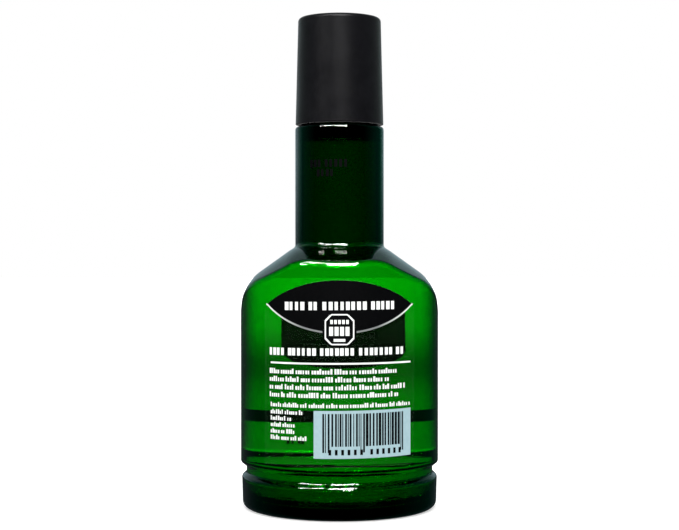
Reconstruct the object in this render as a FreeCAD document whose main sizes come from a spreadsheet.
import FreeCAD, Part
import math
import os
import Sketcher

# Round splash bottle with a long neck and a two-part screw cap, in millimetres.
# The origin is the centre of the ring that the bottle stands on, and +Z runs up the axis.
# The back label faces -Y and the front label faces +Y. The cap is screwed home.

DRIVING_SIZES = {
    # body shell, outside
    "body_radius": 30.45,
    "ring_inner_radius": 25.9,
    "heel_radius": 29.8,
    "heel_round": 2.2,
    "push_up": 2.6,
    "push_up_radius": 21.5,
    "band_radius": 30.1,
    "band_top": 9.7,
    "waist_radius": 28.7,
    "waist_low": 10.9,
    "waist_high": 12.9,
    "waist_ledge": 14.2,
    "blank_top": 90.0,
    # shoulder profile in the plane of the bottle's width, swept about the X axis
    "side_low_x": 30.9,
    "side_low_z": 52.0,
    "side_bend_x": 30.38,
    "side_bend_z": 60.5,
    "side_bend_round": 39.0,
    "bend_x": 28.99,
    "bend_z": 69.16,
    "bend_round": 13.9,
    "crown_x": 12.0,
    "crown_z": 81.3,
    "crown_round": 14.0,
    "shoulder_edge_round": 2.2,
    "inner_edge_round": 1.2,
    # neck and screw finish
    "neck_radius": 13.67,
    "neck_top": 117.0,
    "neck_top_round": 1.0,
    "neck_foot_round": 1.2,
    "finish_radius": 9.75,
    "finish_top": 132.0,
    "bore_radius": 7.8,
    "neck_inner_radius": 11.4,
    # walls
    "body_wall": 0.6,
    "shoulder_wall": 0.9,
    "base_wall": 2.4,
    "foot_wall": 3.2,
    "heel_wall": 1.6,
    "band_wall": 1.3,
    "waist_wall": 1.2,
    "fill_level": 81.9,
    # screw thread
    "thread_pitch": 3.175,
    "thread_radius": 10.8,
    "thread_turns": 1.5,
    "thread_start": 121.2,
    "thread_root_half": 0.75,
    "thread_crest_half": 0.35,
    "thread_sink": 0.15,
    # cap
    "cap_low": 117.6,
    "cap_top": 150.5,
    "cap_low_radius": 13.56,
    "cap_top_radius": 12.73,
    "cap_top_round": 1.2,
    "cap_wall": 1.15,
    "cap_roof": 1.4,
    "lip_radius": 11.95,
    "lip_top": 118.3,
    "rib_count": 8.0,
    "rib_thickness": 1.0,
    "rib_depth": 3.2,
    # threaded insert and liner
    "insert_low": 118.5,
    "insert_low_radius": 12.28,
    "insert_top": 135.2,
    "insert_top_radius": 11.85,
    "insert_inner_radius": 11.1,
    "insert_crest_radius": 10.1,
    "insert_turns": 1.25,
    "insert_ridge_half": 0.6,
    "insert_crest_half": 0.25,
    "liner_radius": 10.9,
    "liner_thickness": 1.0,
    # orifice reducer
    "flange_radius": 9.5,
    "flange_thickness": 1.0,
    "plug_depth": 8.0,
    "plug_wall": 1.1,
    "orifice_radius": 3.2,
    "spout_wall": 0.9,
    "spout_depth": 4.0,
    # labels
    "label_film": 0.08,
    "label_low": 16.0,
    "label_high": 70.6,
    "label_span": 92.0,
    "label_arch_radius": 36.0,
}

doc = FreeCAD.newDocument("splash_bottle")
sheet = doc.addObject("Spreadsheet::Sheet", "sizes")
working = doc.addObject("Spreadsheet::Sheet", "working")


def fill_sheet():
    """One row for each driving size: its name, and its value under an alias."""
    for row, (name, value) in enumerate(DRIVING_SIZES.items(), start=1):
        sheet.set("A%d" % row, name)
        sheet.set("B%d" % row, repr(value))
        sheet.setAlias("B%d" % row, name)
    doc.recompute()


def named(expression):
    """The expression with each size's name led by the sheet's name."""
    words = []
    word = ""
    for letter in expression + " ":
        if letter.isalnum() or letter in "_.":
            word += letter
            continue
        words.append("sizes." + word if word in DRIVING_SIZES else word)
        words.append(letter)
        word = ""
    return "".join(words).strip()


def size(expression):
    """The value of an expression in the sheet's names, worked out in the working sheet."""
    working.set("A1", "=" + named(str(expression)))
    working.recompute()
    return float(working.get("A1"))


def bind(obj, prop, expression):
    obj.setExpression(prop, named(str(expression)))


def origin_plane(body, role):
    return next(item for item in body.Origin.OriginFeatures if item.Role == role)


def new_sketch(body, name, plane="XZ_Plane"):
    sketch = body.newObject("Sketcher::SketchObject", name)
    sketch.AttachmentSupport = [(origin_plane(body, plane), "")]
    sketch.MapMode = "FlatFace"
    return sketch


def hold(sketch, geometry, point, x, y):
    """Bind one point of a sketch to x and y, each an expression in the sheet's names."""
    for kind, expression, axis in (("DistanceX", x, -2), ("DistanceY", y, -1)):
        if size(expression) == 0:
            sketch.addConstraint(Sketcher.Constraint("PointOnObject", geometry, point, axis))
            continue
        index = sketch.addConstraint(Sketcher.Constraint(kind, geometry, point, size(expression)))
        bind(sketch, "Constraints[%d]" % index, expression)


def rounded_corner(before, corner, after, radius):
    """Where a round of this radius leaves the two sides of a corner, and its centre."""
    to_before = (before - corner).normalize()
    to_after = (after - corner).normalize()
    half = to_before.getAngle(to_after) / 2
    reach = radius / math.tan(half)
    middle = (to_before + to_after).normalize()
    return corner + to_before * reach, corner + to_after * reach, corner + middle * (radius / math.sin(half))


def outline(sketch, corners):
    """A closed outline through corners (x, y) or (x, y, round), each value an expression."""
    points = [FreeCAD.Vector(size(c[0]), size(c[1]), 0) for c in corners]
    count = len(corners)
    leaves = []
    for i, corner in enumerate(corners):
        if len(corner) == 3:
            leaves.append(rounded_corner(points[i - 1], points[i], points[(i + 1) % count], size(corner[2])))
        else:
            leaves.append((points[i], points[i], None))
    for i in range(count):
        sketch.addGeometry(Part.LineSegment(leaves[i][1], leaves[(i + 1) % count][0]), False)
    for i, corner in enumerate(corners):
        line_in = (i - 1) % count
        if len(corner) == 2:
            sketch.addConstraint(Sketcher.Constraint("Coincident", line_in, 2, i, 1))
            hold(sketch, i, 1, corner[0], corner[1])
            continue
        start, end, centre = leaves[i]
        turn_left = (start - centre).cross(end - centre).z > 0
        first, last = (start, end) if turn_left else (end, start)
        angles = [math.atan2((p - centre).y, (p - centre).x) for p in (first, last)]
        if angles[1] < angles[0]:
            angles[1] += 2 * math.pi
        circle = Part.Circle(centre, FreeCAD.Vector(0, 0, 1), size(corner[2]))
        arc = sketch.addGeometry(Part.ArcOfCircle(circle, angles[0], angles[1]), False)
        meets_in, meets_out = (1, 2) if turn_left else (2, 1)
        sketch.addConstraint(Sketcher.Constraint("Tangent", line_in, 2, arc, meets_in))
        sketch.addConstraint(Sketcher.Constraint("Tangent", arc, meets_out, i, 1))
        radius = sketch.addConstraint(Sketcher.Constraint("Radius", arc, size(corner[2])))
        bind(sketch, "Constraints[%d]" % radius, corner[2])
        apex = sketch.addGeometry(Part.Point(points[i]), True)
        hold(sketch, apex, 1, corner[0], corner[1])
        sketch.addConstraint(Sketcher.Constraint("PointOnObject", apex, 1, line_in))
        sketch.addConstraint(Sketcher.Constraint("PointOnObject", apex, 1, i))


def new_body(label):
    body = doc.addObject("PartDesign::Body", label)
    body.Label = label
    return body


def turned(body, name, corners):
    """A solid of revolution about the bottle's axis."""
    sketch = new_sketch(body, name + "_outline")
    outline(sketch, corners)
    feature = body.newObject("PartDesign::Revolution", name)
    feature.Profile = sketch
    feature.ReferenceAxis = (sketch, ["V_Axis"])
    feature.Angle = 360
    doc.recompute()
    return feature


def round_edges(body, name, base, radius, wanted):
    """Round every edge of the base feature that the test picks."""
    feature = body.newObject("PartDesign::Fillet", name)
    picked = ["Edge%d" % (i + 1) for i, edge in enumerate(base.Shape.Edges) if wanted(edge)]
    feature.Base = (base, picked)
    bind(feature, "Radius", radius)
    doc.recompute()
    return feature


def shoulder_cut(body, name, wall):
    """Cut the blank down to the drooping shoulder, a profile swept about the X axis."""
    half = [
        ("crown_x - 0.32 * %s" % wall, "crown_z - %s" % wall, "crown_round - %s" % wall),
        ("bend_x - 0.92 * %s" % wall, "bend_z - 0.57 * %s" % wall, "bend_round - %s" % wall),
        ("side_bend_x - %s" % wall, "side_bend_z - 0.11 * %s" % wall, "side_bend_round - %s" % wall),
        ("side_low_x - %s" % wall, "side_low_z"),
        ("side_low_x + 8", "side_low_z"),
        ("side_low_x + 8", "blank_top + 12"),
    ]
    mirrored = [("-(" + corner[0] + ")",) + corner[1:] for corner in reversed(half)]
    sketch = new_sketch(body, name + "_outline")
    outline(sketch, half + mirrored)
    cut = body.newObject("PartDesign::Groove", name)
    cut.Profile = sketch
    cut.ReferenceAxis = (sketch, ["H_Axis"])
    cut.Midplane = True
    cut.Angle = 130
    doc.recompute()
    return cut


def helical_ridge(body, name, root, crest, start, root_half, crest_half, turns):
    """A right-hand screw ridge of trapezoid section, added to the body."""
    sketch = new_sketch(body, name + "_section")
    outline(sketch, [
        (root, start + " - " + root_half),
        (crest, start + " - " + crest_half),
        (crest, start + " + " + crest_half),
        (root, start + " + " + root_half),
    ])
    ridge = body.newObject("PartDesign::AdditiveHelix", name)
    ridge.Profile = sketch
    ridge.ReferenceAxis = (sketch, ["V_Axis"])
    ridge.Mode = "pitch-turns-angle"
    bind(ridge, "Pitch", "thread_pitch")
    bind(ridge, "Turns", turns)
    doc.recompute()
    return ridge


def bottle_outside():
    """The blown shell's outer form, still solid: body, shoulder, neck and threaded finish."""
    body = new_body("bottle_outside")
    turned(body, "body_blank", [
        ("0", "push_up"),
        ("push_up_radius", "push_up", "6"),
        ("ring_inner_radius", "0", "0.8"),
        ("heel_radius", "0", "heel_round"),
        ("band_radius", "band_top", "1.0"),
        ("waist_radius", "waist_low", "0.7"),
        ("waist_radius", "waist_high", "0.6"),
        ("body_radius", "waist_ledge", "0.6"),
        ("body_radius", "blank_top"),
        ("0", "blank_top"),
    ])
    cut = shoulder_cut(body, "shoulder", "0")
    round_edges(body, "shoulder_edge", cut, "shoulder_edge_round", on_shoulder_edge("body_radius"))
    turned(body, "neck", [
        ("0", "crown_z - 12"),
        ("neck_radius", "crown_z - 12"),
        ("neck_radius", "neck_top", "neck_top_round"),
        ("finish_radius", "neck_top", "0.5"),
        ("finish_radius", "finish_top", "0.4"),
        ("0", "finish_top"),
    ])
    round_edges(body, "neck_foot", body.Tip, "neck_foot_round", on_neck_foot)
    helical_ridge(body, "thread", "finish_radius - thread_sink", "thread_radius", "thread_start",
                  "thread_root_half", "thread_crest_half", "thread_turns")
    return body


def on_shoulder_edge(wall_radius):
    """A test for an edge where the shoulder meets the upright wall of this radius."""
    def test(edge):
        return edge.BoundBox.ZMin > size("side_low_z") and min(reach_of(edge)) > size(wall_radius) - 0.01
    return test


def reach_of(edge):
    """How far an edge's ends and middle lie from the bottle's axis."""
    low, high = edge.FirstParameter, edge.LastParameter
    points = [edge.valueAt(t) for t in (low, (low + high) / 2, high)]
    return [math.hypot(p.x, p.y) for p in points]


def on_neck_foot(edge):
    """Whether an edge lies where the neck meets the crown of the shoulder."""
    box = edge.BoundBox
    at_neck = max(abs(r - size("neck_radius")) for r in reach_of(edge)) < 0.01
    return at_neck and box.ZMax < size("neck_top - 10") and box.ZMin > size("bend_z")


def bottle_inside():
    """The hollow of the bottle, from the push-up to the mouth."""
    body = new_body("bottle_inside")
    turned(body, "body_hollow", [
        ("0", "push_up + base_wall"),
        ("push_up_radius + 0.5", "push_up + base_wall", "5"),
        ("ring_inner_radius - 1.0", "foot_wall", "0.8"),
        ("heel_radius - heel_wall", "foot_wall", "2.4"),
        ("band_radius - band_wall", "band_top - 0.4", "1.0"),
        ("waist_radius - waist_wall", "waist_low - 0.3", "0.6"),
        ("waist_radius - waist_wall", "waist_high + 0.4", "0.8"),
        ("body_radius - body_wall", "waist_ledge + 0.7", "0.8"),
        ("body_radius - body_wall", "blank_top"),
        ("0", "blank_top"),
    ])
    cut = shoulder_cut(body, "inner_shoulder", "shoulder_wall")
    round_edges(body, "inner_edge", cut, "inner_edge_round", on_shoulder_edge("body_radius - body_wall"))
    turned(body, "neck_hollow", [
        ("0", "crown_z - 10"),
        ("neck_inner_radius", "crown_z - 10"),
        ("neck_inner_radius", "neck_top - 3.8", "2.5"),
        ("bore_radius", "neck_top - 0.8", "1.2"),
        ("bore_radius", "finish_top + 2"),
        ("0", "finish_top + 2"),
    ])
    return body


def bottle():
    shell = doc.addObject("Part::Cut", "bottle")
    shell.Base = bottle_outside()
    shell.Tool = bottle_inside()
    shell.Label = "bottle"
    doc.recompute()
    return shell


def aftershave_liquid():
    """The liquid: the hollow of the bottle, up to the fill level inside the neck."""
    column = doc.addObject("Part::Cylinder", "fill_column")
    bind(column, "Radius", "body_radius")
    bind(column, "Height", "fill_level")
    liquid = doc.addObject("Part::Common", "aftershave_liquid")
    liquid.Base = doc.getObject("bottle_inside")
    liquid.Tool = column
    liquid.Label = "aftershave_liquid"
    doc.recompute()
    return liquid


def wrap_label(label, turn):
    """A clear film on the body wall with an arched top, made facing +Y and turned about the axis."""
    body = new_body(label)
    section = new_sketch(body, label + "_section", "YZ_Plane")
    outline(section, [
        ("body_radius", "label_low"),
        ("body_radius + label_film", "label_low"),
        ("body_radius + label_film", "label_high + 1"),
        ("body_radius", "label_high + 1"),
    ])
    film = body.newObject("PartDesign::Revolution", label + "_film")
    film.Profile = section
    film.ReferenceAxis = (section, ["V_Axis"])
    film.Midplane = True
    bind(film, "Angle", "label_span")
    doc.recompute()
    ring = new_sketch(body, label + "_arch_outline")
    for index, radius in enumerate(("label_arch_radius", "label_high * 2")):
        ring.addGeometry(Part.Circle(FreeCAD.Vector(), FreeCAD.Vector(0, 0, 1), size(radius)), False)
        hold(ring, index, 3, "0", "label_high - label_arch_radius")
        bound = ring.addConstraint(Sketcher.Constraint("Radius", index, size(radius)))
        bind(ring, "Constraints[%d]" % bound, radius)
    arch = body.newObject("PartDesign::Pocket", label + "_arch")
    arch.Profile = ring
    arch.Type = "ThroughAll"
    arch.Midplane = True
    doc.recompute()
    body.Placement = FreeCAD.Placement(FreeCAD.Vector(), FreeCAD.Rotation(FreeCAD.Vector(0, 0, 1), turn))
    return body


def orifice_reducer():
    """The plug pressed in the mouth: a flange, a sealing skirt and a pouring tube."""
    body = new_body("orifice_reducer")
    turned(body, "plug", [
        ("orifice_radius", "finish_top + flange_thickness - spout_depth"),
        ("orifice_radius + spout_wall", "finish_top + flange_thickness - spout_depth"),
        ("orifice_radius + spout_wall", "finish_top - 0.6", "0.4"),
        ("bore_radius - plug_wall", "finish_top - 0.6", "0.4"),
        ("bore_radius - plug_wall", "finish_top - plug_depth"),
        ("bore_radius", "finish_top - plug_depth", "0.5"),
        ("bore_radius", "finish_top"),
        ("flange_radius", "finish_top"),
        ("flange_radius", "finish_top + flange_thickness", "0.3"),
        ("orifice_radius", "finish_top + flange_thickness", "0.4"),
    ])
    return body


def cap_shell():
    """The tapered outer cap, with ribs inside that press on the insert and a snap lip below."""
    body = new_body("cap_shell")
    taper = "(cap_low_radius - cap_top_radius) / (cap_top - cap_low)"
    turned(body, "shell_wall", [
        ("cap_low_radius", "cap_low", "0.3"),
        ("cap_top_radius", "cap_top", "cap_top_round"),
        ("0", "cap_top"),
        ("0", "cap_top - cap_roof"),
        ("cap_top_radius + %s * cap_roof - cap_wall" % taper, "cap_top - cap_roof", "0.6"),
        ("cap_low_radius - cap_wall", "insert_low + 0.1"),
        ("lip_radius", "lip_top"),
        ("lip_radius", "cap_low", "0.2"),
    ])
    sketch = new_sketch(body, "rib_outline")
    outline(sketch, [
        ("cap_top_radius - cap_wall - rib_depth", "insert_top"),
        ("cap_top_radius - cap_wall / 2", "insert_top"),
        ("cap_top_radius - cap_wall / 2", "cap_top - cap_roof / 2"),
        ("cap_top_radius - cap_wall - rib_depth", "cap_top - cap_roof / 2"),
    ])
    rib = body.newObject("PartDesign::Pad", "rib")
    rib.Profile = sketch
    rib.Midplane = True
    bind(rib, "Length", "rib_thickness")
    doc.recompute()
    ribs = body.newObject("PartDesign::PolarPattern", "ribs")
    ribs.Originals = [rib]
    ribs.Axis = (sketch, ["V_Axis"])
    ribs.Angle = 360
    bind(ribs, "Occurrences", "rib_count")
    body.Tip = ribs
    doc.recompute()
    return body


def cap_insert():
    """The threaded inner cap that screws on the finish."""
    body = new_body("cap_insert")
    turned(body, "insert_wall", [
        ("0", "insert_top"),
        ("0", "finish_top + flange_thickness + liner_thickness"),
        ("insert_inner_radius", "finish_top + flange_thickness + liner_thickness", "0.3"),
        ("insert_inner_radius", "insert_low"),
        ("insert_low_radius", "insert_low"),
        ("insert_top_radius", "insert_top", "0.4"),
    ])
    helical_ridge(body, "insert_thread", "insert_inner_radius + thread_sink", "insert_crest_radius",
                  "thread_start - thread_pitch / 2", "insert_ridge_half", "insert_crest_half",
                  "insert_turns")
    return body


def cap_liner():
    """The foam disc that seals on the reducer's flange."""
    body = new_body("cap_liner")
    turned(body, "liner_disc", [
        ("0", "finish_top + flange_thickness"),
        ("liner_radius", "finish_top + flange_thickness", "0.2"),
        ("liner_radius", "finish_top + flange_thickness + liner_thickness", "0.2"),
        ("0", "finish_top + flange_thickness + liner_thickness"),
    ])
    return body


def write_parts(parts):
    """Check the whole document, then write one STEP file for each sub-part."""
    doc.recompute()
    for item in doc.Objects:
        if "Invalid" in item.State or "Error" in item.State:
            raise RuntimeError("%s failed: %s" % (item.Label, item.State))
    os.makedirs("parts", exist_ok=True)
    for part in parts:
        shape = part.Shape
        if shape.isNull() or not shape.isValid() or not shape.Solids:
            raise RuntimeError("%s has no sound solid" % part.Label)
        box = shape.BoundBox
        print("%-18s %d solid(s) %10.1f mm3  z %.2f to %.2f  x %.2f to %.2f" % (
            part.Label, len(shape.Solids), shape.Volume, box.ZMin, box.ZMax, box.XMin, box.XMax))
        shape.exportStep("parts/%s.step" % part.Label)


fill_sheet()
write_parts([
    bottle(),
    aftershave_liquid(),
    wrap_label("front_label", 0),
    wrap_label("back_label", 180),
    orifice_reducer(),
    cap_shell(),
    cap_insert(),
    cap_liner(),
])
